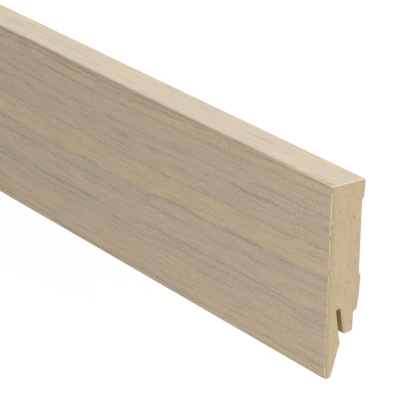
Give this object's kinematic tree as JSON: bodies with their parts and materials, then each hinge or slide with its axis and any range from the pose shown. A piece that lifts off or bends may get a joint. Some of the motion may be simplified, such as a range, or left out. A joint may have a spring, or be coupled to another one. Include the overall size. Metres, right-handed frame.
{
  "type": "skirting board length",
  "caption": "Straight length of foil-wrapped MDF skirting board with a bevelled toe, a clip slot milled at a slant and a shallow glue recess along its wall side.",
  "frame": {"origin": "under the middle of the board's box, on the plane that its wall side lies on", "axes": "+X along the length, +Y from the toe towards the top edge, +Z out of the decor face; the board lies on its wall side"},
  "size_m": [2.4, 0.058, 0.012],
  "materials": {
    "mdf": "milled fibreboard, matt",
    "foil": "printed decor foil in a bleached oak, satin lacquer"
  },
  "bodies": {
    "root": {"mdf_core": "mdf", "decor_foil": "foil"}
  },
  "joints": []
}
